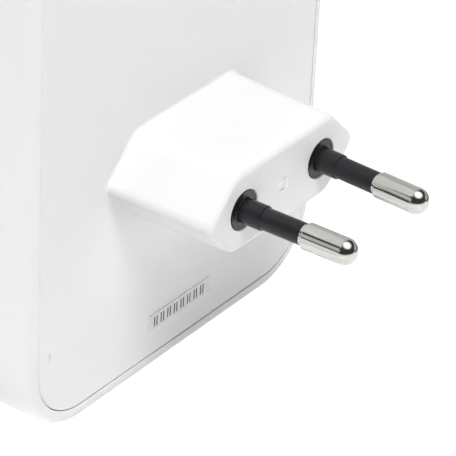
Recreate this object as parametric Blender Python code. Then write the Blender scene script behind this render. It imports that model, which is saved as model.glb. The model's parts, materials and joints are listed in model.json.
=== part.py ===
"""Wall-plug wifi range extender with a fixed two-pin europlug on its back.

Frame: the origin is the centre of the plug's front face. +Y points out of that face towards the
wall socket, +Z is up and +X is to the left when the back is looked at. Sizes below are in
millimetres and are turned into metres where meshes are made.
"""
import math

import bmesh
import bpy
from mathutils import Matrix, Vector

MM = 0.001
GAP = 0.3                # air left between neighbouring pieces
EPS = 1.0                # how far a cutter runs past the face that it opens

# Plug and pins
PIN_SPACING = 18.6       # between pin centres at the plug face
PIN_TIP_SPACING = 17.5   # the pins lean towards each other
PIN_REACH = 19.0         # pin tip beyond the plug face
PIN_RADIUS = 2.0
PIN_TAIL = -17.0         # inner end of the pin
CORE_RADIUS = 1.1        # metal inside the sleeve
METAL_START = 10.15      # where bare metal begins
SLEEVE_RADIUS = 1.675
COLLAR_RADIUS = 1.9
COLLAR_END = 3.6
DISC_RADIUS = 3.05       # black disc around each pin in the plug face
FLANGE_BACK = -4.0       # back of the flange that holds each sleeve behind the plug's wall
CARRIER_BACK = -9.0      # back of the slab that holds both pins
PLUG_WIDTH = 35.9        # where the plug leaves the cover
PLUG_HEIGHT = 14.3
PLUG_DRAFT = 0.6         # how far each side has drawn in at the plug's face
PLUG_SLOPE = 45.0        # degrees between the plug's sloping sides and its flats
PLUG_NOSE = 1.8          # radius where two sloping sides meet
PLUG_SHOULDER = 3.4      # radius where a sloping side meets a flat
PLUG_EDGE = 1.0          # radius round the plug's front face
PLUG_REACH = 18.0        # from the housing's back to the plug face
PLUG_WALL = 2.0          # at the cover; the draft thins it to 1.4 at the face
PLUG_FRONT_WALL = 2.0

# Housing
HALF_WIDTH = 34.5
BOTTOM = -37.0
TOP = 73.0
BACK = -PLUG_REACH
DEPTH = 30.0
FRONT = BACK - DEPTH
CORNER = 12.0            # outer corner radius, seen from the back
RIM_FILLET = 1.7
FRONT_FILLET = 5.0
SIDE_RIM = 1.9           # rim between the seam and the side wall
END_RIM = 2.5            # the same at the bottom and the top
SEAM_GAP = 0.35
SEAM_CORNER = 10.0
COVER_THICK = 2.0
COVER_FILLET = 0.8
PANEL_DEPTH = 1.2        # recess in the front that holds the trim panel
FRONT_WALL = 2.0
INSIDE = FRONT + PANEL_DEPTH + FRONT_WALL     # inner face of the front wall
PANEL_INSET = 6.0
CORNER_STEPS = 6

# Boards
POWER_BOARD = ((-29.0, -24.0, -15.0), (29.0, -22.4, 31.0))
MAIN_BOARD_FRONT = -39.6
MAIN_BOARD_BACK = -38.4
MAIN_BOARD_HALF = 29.0
MAIN_BOARD_ENDS = (-33.5, 66.0)
POWER_SIDE = POWER_BOARD[0][1] - GAP      # where the supply's components start
REAR_SIDE = MAIN_BOARD_BACK + GAP         # where the main board's rear components start
FRONT_SIDE = MAIN_BOARD_FRONT - GAP       # where its front components start
SCREW_HOLE = 1.6
MAIN_SCREWS = ((-25.5, -28.0), (25.5, -28.0), (0.0, 62.0))
POWER_SCREWS = ((-26.0, 27.0), (26.0, -11.0))

# Controls, lights and socket
BUTTON_Z = 4.0
BUTTON_RADIUS = 7.5
BUTTON_PROUD = 0.6
BUTTON_CLEAR = 0.35
RESET_XY = (-18.0, -41.6)
RESET_HOLE = 1.3
BAR_SPACING = 5.0
BAR_WIDTH = 2.2
BAR_FOOT = 42.0
BAR_HEIGHTS = (3.5, 6.0, 8.5, 11.0)
DOT_Z = 26.0
DOT_X = 5.0
DOT_RADIUS = 1.1
LED_HEIGHT = 0.9
JACK_HALF = 7.95
JACK_Y = (-38.1, -24.9)
JACK_Z = (-36.6, -16.6)
JACK_FLOOR = JACK_Y[0] + 1.3      # wall of the cavity that carries the contacts
JACK_REACH = 13.2                 # depth of the cavity

PALETTE = {              # colour, roughness, metallic
    "housing_white": ((0.80, 0.80, 0.81), 0.28, 0.0),
    "cover_white": ((0.78, 0.78, 0.79), 0.42, 0.0),
    "panel_white": ((0.84, 0.84, 0.85), 0.12, 0.0),
    "button_white": ((0.74, 0.75, 0.77), 0.30, 0.0),
    "clear_pipe": ((0.70, 0.76, 0.80), 0.15, 0.0),
    "insulator_black": ((0.02, 0.02, 0.022), 0.30, 0.0),
    "nickel": ((0.62, 0.60, 0.56), 0.25, 1.0),
    "brass": ((0.72, 0.53, 0.22), 0.35, 1.0),
    "board_green": ((0.03, 0.20, 0.09), 0.45, 0.0),
    "component_black": ((0.03, 0.03, 0.032), 0.55, 0.0),
    "ferrite": ((0.08, 0.08, 0.085), 0.65, 0.0),
    "winding_tape": ((0.80, 0.58, 0.08), 0.40, 0.0),
    "capacitor_sleeve": ((0.02, 0.03, 0.09), 0.35, 0.0),
    "ceramic_blue": ((0.05, 0.22, 0.50), 0.35, 0.0),
    "steel": ((0.58, 0.58, 0.60), 0.30, 1.0),
    "aluminium": ((0.75, 0.76, 0.77), 0.35, 1.0),
    "led_lens": ((0.90, 0.90, 0.72), 0.25, 0.0),
    "thermal_pad": ((0.45, 0.50, 0.58), 0.80, 0.0),
    "insulating_film": ((0.72, 0.72, 0.68), 0.30, 0.0),
}


def clear_scene():
    for item in list(bpy.data.objects):
        bpy.data.objects.remove(item, do_unlink=True)


def make_material(slot):
    colour, roughness, metallic = PALETTE[slot]
    made = bpy.data.materials.new(slot)
    made.use_nodes = True
    shader = made.node_tree.nodes["Principled BSDF"]
    shader.inputs["Base Color"].default_value = (*colour, 1.0)
    shader.inputs["Roughness"].default_value = roughness
    shader.inputs["Metallic"].default_value = metallic
    return made


# ---------------------------------------------------------------- shapes, as bmesh bodies

def loft(rings):
    """A closed body through rings of equal length; its first and last rings are capped."""
    body = bmesh.new()
    rows = [[body.verts.new(point) for point in ring] for ring in rings]
    for row, following in zip(rows, rows[1:]):
        for index in range(len(row)):
            after = (index + 1) % len(row)
            body.faces.new((row[index], row[after], following[after], following[index]))
    body.faces.new(rows[0])
    body.faces.new(rows[-1])
    return body


def box(low, high, edge=0.0):
    """A box between two corners, with its edges chamfered by edge."""
    low_x, low_y, low_z = low
    high_x, high_y, high_z = high
    corners = ((low_x, low_z), (high_x, low_z), (high_x, high_z), (low_x, high_z))
    body = prism_y(corners, low_y, high_y)
    if edge:
        bmesh.ops.bevel(body, geom=body.edges[:], offset=edge, segments=1, affect="EDGES")
    return body


def prism_y(points, low, high):
    """An (x, z) outline carried along Y."""
    return loft([[(x, y, z) for x, z in points] for y in (low, high)])


def prism_z(points, low, high):
    """An (x, y) outline carried along Z."""
    return loft([[(x, y, z) for x, y in points] for z in (low, high)])


def arc(centre, radius, start, turn, steps):
    """Points on a circle, from the angle start through turn, both in degrees."""
    angles = [math.radians(start + turn * step / steps) for step in range(steps + 1)]
    return [(centre[0] + radius * math.cos(a), centre[1] + radius * math.sin(a)) for a in angles]


def rounded_rect(half_x, z_low, z_high, radius, steps=CORNER_STEPS):
    """Outline of an upright rectangle with round corners, as (x, z) points."""
    inner_x = half_x - radius
    points = arc((inner_x, z_high - radius), radius, 0, 90, steps)
    points += arc((-inner_x, z_high - radius), radius, 90, 90, steps)
    points += arc((-inner_x, z_low + radius), radius, 180, 90, steps)
    points += arc((inner_x, z_low + radius), radius, 270, 90, steps)
    return points


def slot_outline(x, z_low, z_high, width, steps=5):
    """An upright slot with round ends."""
    radius = width / 2
    upper = arc((x, z_high - radius), radius, 0, 180, steps)
    return upper + arc((x, z_low + radius), radius, 180, 180, steps)


def turned(profile, steps=20, closed=False):
    """A body turned about Y from (y, radius) points, or a ring when the profile is closed."""
    body = bmesh.new()
    rows = []
    for y, radius in profile:
        angles = [2 * math.pi * step / steps for step in range(steps)]
        rows.append([body.verts.new((radius * math.cos(a), y, radius * math.sin(a))) for a in angles])
    pairs = list(zip(rows, rows[1:]))
    if closed:
        pairs.append((rows[-1], rows[0]))
    else:
        body.faces.new(rows[0])
        body.faces.new(rows[-1])
    for row, following in pairs:
        for index in range(steps):
            after = (index + 1) % steps
            body.faces.new((row[index], row[after], following[after], following[index]))
    return body


def cylinder(centre, radius, low, high, axis="Y", steps=20):
    """A cylinder along one axis; centre holds its two other coordinates in X, Y, Z order."""
    body = turned([(low, radius), (high, radius)], steps)
    if axis == "Y":
        shift = Matrix.Translation((centre[0], 0, centre[1]))
    elif axis == "X":
        shift = Matrix.Translation((0, centre[0], centre[1])) @ Matrix.Rotation(-math.pi / 2, 4, "Z")
    else:
        shift = Matrix.Translation((centre[0], centre[1], 0)) @ Matrix.Rotation(math.pi / 2, 4, "X")
    body.transform(shift)
    return body


def together(bodies):
    """Several bodies that don't touch each other in one mesh, for use as a tool."""
    held = bmesh.new()
    for body in bodies:
        bmesh.ops.recalc_face_normals(body, faces=body.faces[:])
        scratch = bpy.data.meshes.new("scratch")
        body.to_mesh(scratch)
        body.free()
        held.from_mesh(scratch)
        bpy.data.meshes.remove(scratch)
    return held


# ---------------------------------------------------------------- objects

def add_object(name, body, origin):
    """An object from a body in millimetres, with its own origin, in metres."""
    bmesh.ops.recalc_face_normals(body, faces=body.faces[:])
    body.transform(Matrix.Scale(MM, 4) @ Matrix.Translation(-Vector(origin)))
    mesh = bpy.data.meshes.new(name)
    body.to_mesh(mesh)
    body.free()
    made = bpy.data.objects.new(name, mesh)
    made.location = Vector(origin) * MM
    bpy.context.scene.collection.objects.link(made)
    return made


def add_part(name, body, slot, parent, origin=None, smooth=False):
    """A sub-part: its origin is the middle of its box unless one is given."""
    if origin is None:
        spots = [vertex.co for vertex in body.verts]
        origin = [(min(s[i] for s in spots) + max(s[i] for s in spots)) / 2 for i in range(3)]
    part = add_object(name, body, origin)
    part.data.materials.append(MATERIALS[slot])
    if smooth:
        part.data.shade_smooth()
        part.data.set_sharp_from_angle(angle=math.radians(32))
    part.parent = parent
    part.matrix_parent_inverse = Matrix.Translation(-parent.location)
    return part


def add_tool(name, bodies):
    """A cutter or an added feature, which isn't a piece of its own."""
    tool = add_object(name, together(bodies), (0, 0, 0))
    tool.hide_render = True
    tool.display_type = "WIRE"
    return tool


def combine(part, bodies, operation):
    """Cut bodies out of a part (DIFFERENCE) or join them to it (UNION)."""
    tool = add_tool(f"{part.name}_{operation.lower()}", bodies)
    change = part.modifiers.new(operation.title(), "BOOLEAN")
    change.operation = operation
    change.solver = "EXACT"
    change.object = tool


def add_frame(name, location):
    """An empty that carries a moving group, at a point of its joint's axis."""
    frame = bpy.data.objects.new(name, None)
    frame.location = Vector(location) * MM
    frame.empty_display_size = 0.01
    bpy.context.scene.collection.objects.link(frame)
    return frame


# ---------------------------------------------------------------- housing

def outer_ring(inset, y):
    """Outline of the housing, moved inwards by inset, at the depth y."""
    outline = rounded_rect(HALF_WIDTH - inset, BOTTOM + inset, TOP - inset, CORNER - inset)
    return [(x, y, z) for x, z in outline]


def inner_ring(inset, y):
    """Outline of the housing's inside, which the rear cover fits."""
    half = HALF_WIDTH - SIDE_RIM + SEAM_GAP / 2 - inset
    low = BOTTOM + END_RIM - SEAM_GAP / 2 + inset
    high = TOP - END_RIM + SEAM_GAP / 2 - inset
    outline = rounded_rect(half, low, high, SEAM_CORNER + SEAM_GAP / 2 - inset)
    return [(x, y, z) for x, z in outline]


def housing_body():
    """A tub: trim recess, front rounding, side walls, back rim and the inside."""
    floor = FRONT + PANEL_DEPTH
    rings = [outer_ring(PANEL_INSET, floor), outer_ring(PANEL_INSET, FRONT)]
    for across, along in arc((0, 0), FRONT_FILLET, 90, -90, 5):
        rings.append(outer_ring(FRONT_FILLET - across, FRONT + FRONT_FILLET - along))
    for across, along in arc((0, 0), RIM_FILLET, 0, 90, 4):
        rings.append(outer_ring(RIM_FILLET - across, BACK - RIM_FILLET + along))
    rings += [inner_ring(0, BACK), inner_ring(0, INSIDE + 2.8), inner_ring(3.0, INSIDE)]
    return loft(rings)


def window_outlines():
    """The signal bars, then the two status dots, as (x, z) outlines."""
    first = -BAR_SPACING * (len(BAR_HEIGHTS) - 1) / 2
    bars = [slot_outline(first + BAR_SPACING * index, BAR_FOOT, BAR_FOOT + height, BAR_WIDTH)
            for index, height in enumerate(BAR_HEIGHTS)]
    dots = [arc((side * DOT_X, DOT_Z), DOT_RADIUS, 0, 330, 11) for side in (-1, 1)]
    return bars, dots


def grown(outline, by):
    """An outline moved outwards from its own middle by a small distance."""
    middle_x = sum(x for x, _ in outline) / len(outline)
    middle_z = (max(z for _, z in outline) + min(z for _, z in outline)) / 2
    half_z = (max(z for _, z in outline) - min(z for _, z in outline)) / 2
    half_x = max(x for x, _ in outline) - middle_x
    return [(middle_x + (x - middle_x) * (1 + by / half_x),
             middle_z + (z - middle_z) * (1 + by / half_z)) for x, z in outline]


def vent_slots():
    """Rows of slots: eleven across the top, and one group on each side of the socket."""
    slots = []
    for x in [3.6 * index for index in range(-5, 6)]:
        slots.append(box((x - 0.8, -39.0, TOP - END_RIM - EPS), (x + 0.8, -26.0, TOP + EPS)))
    for x in [12.5 + 3.6 * index for index in range(4)]:
        slots.append(box((x - 0.8, -36.5, BOTTOM - EPS), (x + 0.8, -26.5, BOTTOM + END_RIM + EPS)))
        slots.append(box((-x - 0.8, -36.5, BOTTOM - EPS), (-x + 0.8, -26.5, BOTTOM + END_RIM + EPS)))
    return slots


def snap_places():
    """Side (+1 or -1) and height of each snap tab."""
    return [(side, z) for side in (-1, 1) for z in (-8.0, 48.0)]


def make_front_housing(root):
    housing = add_part("front_housing", housing_body(), "housing_white", root, (0, 0, 0), smooth=True)
    posts = [cylinder(spot, 2.8, INSIDE - EPS, FRONT_SIDE, steps=16) for spot in MAIN_SCREWS]
    combine(housing, posts, "UNION")
    bars, dots = window_outlines()
    cuts = [prism_y(grown(shape, GAP), FRONT, INSIDE + EPS) for shape in bars + dots]
    cuts.append(cylinder((0, BUTTON_Z), BUTTON_RADIUS + BUTTON_CLEAR, FRONT, INSIDE + EPS, steps=32))
    cuts += [cylinder(spot, 1.1, INSIDE - 0.5, FRONT_SIDE + EPS, steps=10) for spot in MAIN_SCREWS]
    cuts += vent_slots()
    cuts.append(box((-JACK_HALF - GAP, JACK_Y[0] - GAP, BOTTOM - EPS),
                    (JACK_HALF + GAP, JACK_Y[1] + GAP, BOTTOM + END_RIM + EPS)))
    cuts.append(cylinder(RESET_XY, RESET_HOLE, BOTTOM - EPS, BOTTOM + END_RIM + EPS, "Z", 16))
    wall = HALF_WIDTH - SIDE_RIM
    for side, z in snap_places():
        across = sorted((side * (wall - EPS), side * (wall + 0.9)))
        cuts.append(box((across[0], -26.6, z - 4.4), (across[1], -23.4, z + 4.4)))
    combine(housing, cuts, "DIFFERENCE")


def make_front_panel(root):
    """A thin trim plate that fills the recess in the front."""
    inset = PANEL_INSET + GAP
    rings = [outer_ring(inset, FRONT + PANEL_DEPTH - GAP), outer_ring(inset, FRONT + 0.25),
             outer_ring(inset + 0.25, FRONT)]
    panel = add_part("front_panel", loft(rings), "panel_white", root, (0, 0, 0), smooth=True)
    bars, dots = window_outlines()
    cuts = [prism_y(grown(shape, GAP), FRONT - EPS, FRONT + PANEL_DEPTH) for shape in bars + dots]
    cuts.append(cylinder((0, BUTTON_Z), BUTTON_RADIUS + BUTTON_CLEAR, FRONT - EPS,
                         FRONT + PANEL_DEPTH, steps=32))
    combine(panel, cuts, "DIFFERENCE")


def plug_ring(inset, y, draft=0.0):
    """The plug's outline: flat top and bottom, sloping sides that meet in round noses."""
    half_x = PLUG_WIDTH / 2 - inset - draft
    half_z = PLUG_HEIGHT / 2 - inset - draft
    nose = max(PLUG_NOSE - inset, 0.3)
    shoulder = max(PLUG_SHOULDER - inset, 0.3)
    turn = 90 - PLUG_SLOPE
    normal = math.radians(turn)
    nose_x = half_x - nose
    drop = (half_z - shoulder) * math.sin(normal)
    shoulder_x = nose_x + (nose - shoulder - drop) / math.cos(normal)
    right = arc((nose_x, 0), nose, -turn, 2 * turn, 6)
    upper = arc((shoulder_x, half_z - shoulder), shoulder, turn, PLUG_SLOPE, 5)
    quarter = right[len(right) // 2:] + upper
    top = quarter + [(-x, z) for x, z in reversed(quarter)]
    outline = top + [(-x, -z) for x, z in top[1:-1]]
    return [(x, y, z) for x, z in outline]


def cover_ring(inset, y):
    """Outline of the rear cover, a seam's width inside the housing's rim."""
    half = HALF_WIDTH - SIDE_RIM - SEAM_GAP / 2 - inset
    low = BOTTOM + END_RIM + SEAM_GAP / 2 + inset
    high = TOP - END_RIM - SEAM_GAP / 2 - inset
    outline = rounded_rect(half, low, high, SEAM_CORNER - SEAM_GAP / 2 - inset)
    return [(x, y, z) for x, z in outline]


def snap_tab(side, z):
    """A tab behind the cover's edge with a hook that catches in the housing's pocket."""
    wall = HALF_WIDTH - SIDE_RIM
    root = wall - SEAM_GAP / 2
    profile = [(root - 1.4, BACK - COVER_THICK + 0.4), (root - 1.4, -26.4), (root - 0.2, -26.4),
               (root + 0.5, -25.2), (root + 0.5, -24.2), (root - 0.2, -23.6),
               (root - 0.2, BACK - COVER_THICK + 0.4)]
    return prism_z([(side * x, y) for x, y in profile], z - 4.0, z + 4.0)


def make_rear_cover(root):
    """The inset back plate and the hollow plug moulded in one piece with it."""
    inner = BACK - COVER_THICK
    rings = [cover_ring(0, inner)]
    for across, along in arc((0, 0), COVER_FILLET, 0, 90, 3):
        rings.append(cover_ring(COVER_FILLET - across, BACK - COVER_FILLET + along))
    cover = add_part("rear_cover", loft(rings), "cover_white", root, (0, 0, 0), smooth=True)
    plug = [plug_ring(0, inner + 0.5), plug_ring(0, BACK), plug_ring(0, -PLUG_EDGE, PLUG_DRAFT)]
    plug += [plug_ring(PLUG_EDGE - across, along - PLUG_EDGE, PLUG_DRAFT)
             for across, along in arc((0, 0), PLUG_EDGE, 30, 60, 2)]
    posts = [cylinder(spot, 2.6, POWER_BOARD[1][1] + GAP, inner + 0.5, steps=16) for spot in POWER_SCREWS]
    tabs = [snap_tab(side, z) for side, z in snap_places()]
    combine(cover, [loft(plug)] + posts + tabs, "UNION")
    hollow = loft([plug_ring(PLUG_WALL, inner - EPS), plug_ring(PLUG_WALL, -PLUG_FRONT_WALL)])
    combine(cover, [hollow], "DIFFERENCE")
    holes = [cylinder((side * PIN_SPACING / 2, 0), DISC_RADIUS + 0.2, -PLUG_FRONT_WALL - EPS, EPS, steps=28)
             for side in (-1, 1)]
    holes += [cylinder(spot, 1.15, POWER_BOARD[1][1], BACK - 1.0, steps=10) for spot in POWER_SCREWS]
    combine(cover, holes, "DIFFERENCE")


# ---------------------------------------------------------------- plug pins

def pin_x(y):
    """Distance of a pin's centre from the middle at the depth y."""
    return (PIN_SPACING + (PIN_TIP_SPACING - PIN_SPACING) * y / PIN_REACH) / 2


def lean(body, side):
    """Place a body that was turned about Y on a pin's own leaning axis."""
    tilt = math.atan((PIN_SPACING - PIN_TIP_SPACING) / 2 / PIN_REACH)
    body.transform(Matrix.Translation((side * PIN_SPACING / 2, 0, 0)) @ Matrix.Rotation(side * tilt, 4, "Z"))
    return body


def pin_body():
    ball = arc((PIN_REACH - PIN_RADIUS, 0), PIN_RADIUS, 90, -78, 6)
    profile = [(PIN_TAIL, CORE_RADIUS - 0.3), (PIN_TAIL + 0.3, CORE_RADIUS), (METAL_START, CORE_RADIUS),
               (METAL_START, PIN_RADIUS - 0.15), (METAL_START + 0.15, PIN_RADIUS)]
    return turned(profile + ball, 24)


def sleeve_body():
    """Flange behind the plug's wall, disc in its face, collar, then the thin sleeve."""
    bore = CORE_RADIUS + 0.2
    end = METAL_START - 0.15
    behind = -PLUG_FRONT_WALL - GAP
    profile = [(FLANGE_BACK, bore), (FLANGE_BACK, 4.2), (behind, 4.2), (behind, DISC_RADIUS),
               (-0.2, DISC_RADIUS), (-0.05, DISC_RADIUS - 0.15), (-0.05, COLLAR_RADIUS),
               (COLLAR_END - 0.2, COLLAR_RADIUS), (COLLAR_END, SLEEVE_RADIUS), (end, SLEEVE_RADIUS),
               (end, bore)]
    return turned(profile, 24, closed=True)


def contact_body(x):
    """A folded strip whose two arms hold the pin's tail."""
    foot = POWER_BOARD[1][1] + GAP
    inner, outer, floor, tip = 1.45, 1.95, foot + 0.5, -14.0
    profile = [(-outer, foot), (outer, foot), (outer, tip), (inner, tip), (inner, floor),
               (-inner, floor), (-inner, tip), (-outer, tip)]
    return prism_z([(x + across, y) for across, y in profile], -2.0, 2.0)


def carrier_body():
    """A slab inside the plug that holds both pins behind their flanges."""
    return loft([plug_ring(PLUG_WALL + GAP, y) for y in (CARRIER_BACK, FLANGE_BACK - GAP)])


def make_plug(root):
    for side, hand in ((-1, "right"), (1, "left")):
        origin = (side * PIN_SPACING / 2, 0, 0)
        pin, sleeve = lean(pin_body(), side), lean(sleeve_body(), side)
        add_part(f"plug_pin_{hand}", pin, "nickel", root, origin, smooth=True)
        add_part(f"pin_sleeve_{hand}", sleeve, "insulator_black", root, origin, smooth=True)
        add_part(f"pin_contact_{hand}", contact_body(side * pin_x(PIN_TAIL)), "brass", root)
    carrier = add_part("pin_carrier", carrier_body(), "insulator_black", root)
    middle = (CARRIER_BACK + FLANGE_BACK) / 2
    holes = [cylinder((side * pin_x(middle), 0), CORE_RADIUS + 0.4, CARRIER_BACK - EPS, FLANGE_BACK + EPS)
             for side in (-1, 1)]
    combine(carrier, holes, "DIFFERENCE")


# ---------------------------------------------------------------- power supply

def make_power_board(root):
    low, high = POWER_BOARD
    board = add_part("power_board", box(low, high), "board_green", root)
    holes = [cylinder(spot, SCREW_HOLE, low[1] - EPS, high[1] + EPS, steps=14) for spot in POWER_SCREWS]
    combine(board, holes, "DIFFERENCE")


def standing_can(x, z, radius, height):
    """A capacitor on end, with its top edge rolled in."""
    body = turned([(-height, radius - 0.5), (-height + 0.5, radius), (-0.8, radius), (0, radius - 0.3)], 18)
    body.transform(Matrix.Translation((x, POWER_SIDE, z)))
    return body


def drum(x, z, radius, height):
    """A wound drum core: two flanges with the winding between them."""
    waist = radius - 0.6
    body = turned([(-height, radius), (-height + 1.2, radius), (-height + 1.2, waist), (-1.2, waist),
                   (-1.2, radius), (0, radius)], 18)
    body.transform(Matrix.Translation((x, POWER_SIDE, z)))
    return body


def make_supply_components(root):
    """The supply's small components, from the mains side to the low-voltage side."""
    fuse = cylinder((POWER_SIDE - 1.9, -11.5), 1.9, -27.5, -18.5, "X", 14)
    add_part("fuse", fuse, "component_black", root, smooth=True)
    varistor = cylinder((-23.0, POWER_SIDE - 4.0), 4.0, -8.1, -4.9, "Z", 18)
    add_part("varistor", varistor, "ceramic_blue", root, smooth=True)
    add_part("bridge_rectifier", box((-16, POWER_SIDE - 2.5, -13), (-10, POWER_SIDE, -8), 0.4),
             "component_black", root)
    add_part("line_choke", drum(-14.5, -1.5, 3.8, 8.0), "ferrite", root, smooth=True)
    for number, z in ((1, 3.5), (2, 13.5)):
        add_part(f"bulk_capacitor_{number}", standing_can(-23.5, z, 4.0, 11.5), "capacitor_sleeve",
                 root, smooth=True)
    add_part("switching_controller", box((-16, POWER_SIDE - 1.6, 6), (-11, POWER_SIDE, 10), 0.3),
             "component_black", root)
    suppressor = cylinder((POWER_SIDE - 3.0, -9.0), 3.0, -3.3, -0.7, "X", 16)
    add_part("y_capacitor", suppressor, "ceramic_blue", root, smooth=True)
    add_part("optocoupler", box((3, POWER_SIDE - 3.5, -13), (9, POWER_SIDE, -8.5), 0.3),
             "component_black", root)
    add_part("output_diode", box((19, POWER_SIDE - 2.3, -3), (25, POWER_SIDE, 1), 0.3),
             "component_black", root)
    for number, z in ((1, 0.0), (2, 8.0)):
        add_part(f"output_capacitor_{number}", standing_can(14.0, z, 3.15, 9.5), "capacitor_sleeve",
                 root, smooth=True)
    add_part("output_inductor", drum(22.5, 8.5, 3.4, 6.0), "ferrite", root, smooth=True)


def make_transformer(root):
    """A core with two windows, and the taped winding around its middle leg."""
    low_z, high_z = 4.0, 20.0
    core = add_part("transformer_core", box((-8, -33, low_z), (8, -28, high_z)), "ferrite", root)
    windows = [box((x, -34, low_z + 2.8), (x + 3.2, -27, high_z - 2.8)) for x in (-5.2, 2.0)]
    combine(core, windows, "DIFFERENCE")
    winding = add_part("transformer_winding", box((-4.9, -36, 7.1), (4.9, POWER_SIDE - 0.5, 16.9), 0.5),
                       "winding_tape", root)
    combine(winding, [box((-2.3, -33.3, 6), (2.3, -27.7, 18))], "DIFFERENCE")


def make_board_link(root):
    """Header and socket that carry power to the main board."""
    middle = -31.0
    add_part("power_link_header", box((12, middle + GAP / 2, 22), (26, POWER_SIDE, 27), 0.3),
             "component_black", root)
    add_part("power_link_socket", box((12, REAR_SIDE, 22), (26, middle - GAP / 2, 27), 0.3),
             "component_black", root)


def make_insulating_sheet(root):
    """Film between the mains side and the main board, with a window for the link."""
    sheet = add_part("insulating_sheet", box((-28, -37.5, -14), (28, -37.1, 31)), "insulating_film", root)
    combine(sheet, [box((11.5, -39, 21.5), (26.5, -36, 27.5))], "DIFFERENCE")


# ---------------------------------------------------------------- main board

def make_main_board(root):
    outline = rounded_rect(MAIN_BOARD_HALF, *MAIN_BOARD_ENDS, 8.0, 4)
    board = add_part("main_board", prism_y(outline, MAIN_BOARD_FRONT, MAIN_BOARD_BACK), "board_green", root)
    holes = [cylinder(spot, SCREW_HOLE, MAIN_BOARD_FRONT - EPS, MAIN_BOARD_BACK + EPS, steps=14)
             for spot in MAIN_SCREWS]
    combine(board, holes, "DIFFERENCE")


def make_chips(root):
    """Flat packages on the main board's rear, and the network isolation block on its front."""
    top = REAR_SIDE
    add_part("processor", box((4, top, 43), (16, top + 1.0, 55), 0.2), "component_black", root)
    add_part("thermal_pad", box((4.5, top + 1.3, 43.5), (15.5, top + 2.3, 54.5)), "thermal_pad", root)
    add_part("memory_chip", box((17.5, top, 40), (22.5, top + 1.2, 48), 0.2), "component_black", root)
    add_part("flash_chip", box((17.5, top, 51), (22.5, top + 1.5, 56), 0.2), "component_black", root)
    add_part("ethernet_transformer", box((-8, FRONT_SIDE - 2.5, -15), (8, FRONT_SIDE, -8), 0.3),
             "component_black", root)


def make_shield_can(root):
    """A drawn metal lid over the radio, open towards the board."""
    low, high, sheet = (-24, REAR_SIDE, 38), (-4, REAR_SIDE + 2.6, 60), 0.4
    can = add_part("rf_shield_can", box(low, high), "steel", root)
    combine(can, [box((low[0] + sheet, low[1] - EPS, low[2] + sheet),
                      (high[0] - sheet, high[1] - sheet, high[2] - sheet))], "DIFFERENCE")
    add_part("radio_chip", box((-17, REAR_SIDE, 45), (-10, REAR_SIDE + 0.9, 52)), "component_black", root)


def make_heat_sink(root):
    """A plate with fins: one outline carried along the fins."""
    base, plate, tip = REAR_SIDE + 2.6, REAR_SIDE + 4.1, REAR_SIDE + 9.5
    left, right, fins, fin = 2.0, 23.0, 7, 1.2
    pitch = (right - left - fin) / (fins - 1)
    profile = [(left, base), (right, base)]
    for index in reversed(range(fins)):
        start = left + pitch * index
        if index < fins - 1:
            profile.append((start + fin, plate))
        profile += [(start + fin, tip), (start, tip)]
        if index > 0:
            profile.append((start, plate))
    add_part("heat_sink", prism_z(profile, 38.0, 61.0), "aluminium", root)


def make_antennas(root):
    """A bent strip at each side of the board: a foot on it and a tall blade."""
    low, high, sheet = REAR_SIDE, REAR_SIDE + 7.0, 0.4
    for side, hand in ((-1, "right"), (1, "left")):
        profile = [(26.5, low), (30.6, low), (30.6, high), (30.2, high), (30.2, low + sheet),
                   (26.5, low + sheet)]
        body = prism_z([(side * x, y) for x, y in profile], 40.0, 60.0)
        add_part(f"antenna_{hand}", body, "brass", root)


def make_ethernet_jack(root):
    """Network socket that opens downwards, with room for the plug's latch."""
    low_y, high_y = JACK_Y
    mouth, rear = JACK_Z
    jack = add_part("ethernet_jack", box((-JACK_HALF, low_y, mouth), (JACK_HALF, high_y, rear), 0.3),
                    "component_black", root)
    half, latch, step, end = 5.95, 3.2, JACK_FLOOR + 7.2, JACK_FLOOR + 9.6
    cavity = [(-half, JACK_FLOOR), (half, JACK_FLOOR), (half, step), (latch, step), (latch, end),
              (-latch, end), (-latch, step), (-half, step)]
    combine(jack, [prism_z(cavity, mouth - EPS, mouth + JACK_REACH)], "DIFFERENCE")


def make_jack_contacts(root):
    """Eight contact wires on one carrier at the closed end of the socket."""
    mouth, end = JACK_Z[0], JACK_Z[0] + JACK_REACH - GAP
    floor = JACK_FLOOR + GAP
    carrier = add_part("jack_contacts", box((-5.4, floor, end - 2.2), (5.4, floor + 1.5, end)), "brass", root)
    wires = []
    for x in [1.02 * (index - 3.5) for index in range(8)]:
        profile = [(floor + 0.1, mouth + 3.0), (floor + 0.5, mouth + 3.0), (floor + 1.4, end - 1.0),
                   (floor + 0.9, end - 1.0)]
        wire = loft([[(x + across, y, z) for y, z in profile] for across in (-0.2, 0.2)])
        wires.append(wire)
    combine(carrier, wires, "UNION")


# ---------------------------------------------------------------- lights

def light_pipe(name, root, outlines, plate_low, plate_high):
    """Clear posts from the lamps to the front face, carried by one plate behind the wall."""
    pipe = add_part(name, box(plate_low, plate_high), "clear_pipe", root)
    posts = [prism_y(outline, FRONT + 0.05, FRONT_SIDE - LED_HEIGHT - 0.6) for outline in outlines]
    combine(pipe, posts, "UNION")


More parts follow.
